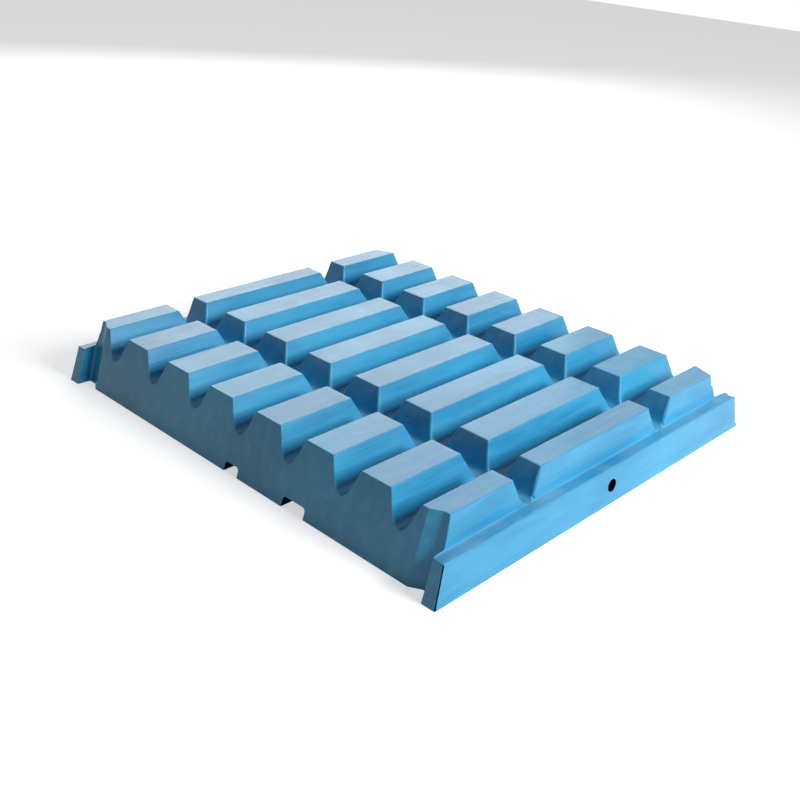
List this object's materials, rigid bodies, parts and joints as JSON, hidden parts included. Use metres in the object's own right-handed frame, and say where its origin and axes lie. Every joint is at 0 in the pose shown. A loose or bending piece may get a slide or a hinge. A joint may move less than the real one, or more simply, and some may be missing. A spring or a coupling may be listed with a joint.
{
  "type": "crusher jaw plate",
  "caption": "Cast jaw plate with interrupted rows of ribbed teeth, side flanges, sloping clamped ends, key slots and blind lifting holes.",
  "frame": {"origin": "middle of the flat back face", "axes": "+X across the teeth, +Y along the teeth away from the key slots, +Z from the back face to the crowns"},
  "size_m": [0.894, 0.832, 0.112],
  "materials": {
    "enamelled_casting": "glossy brushed enamel over an as-cast manganese steel surface"
  },
  "bodies": {
    "root": {"jaw_plate": "enamelled_casting"}
  },
  "joints": []
}
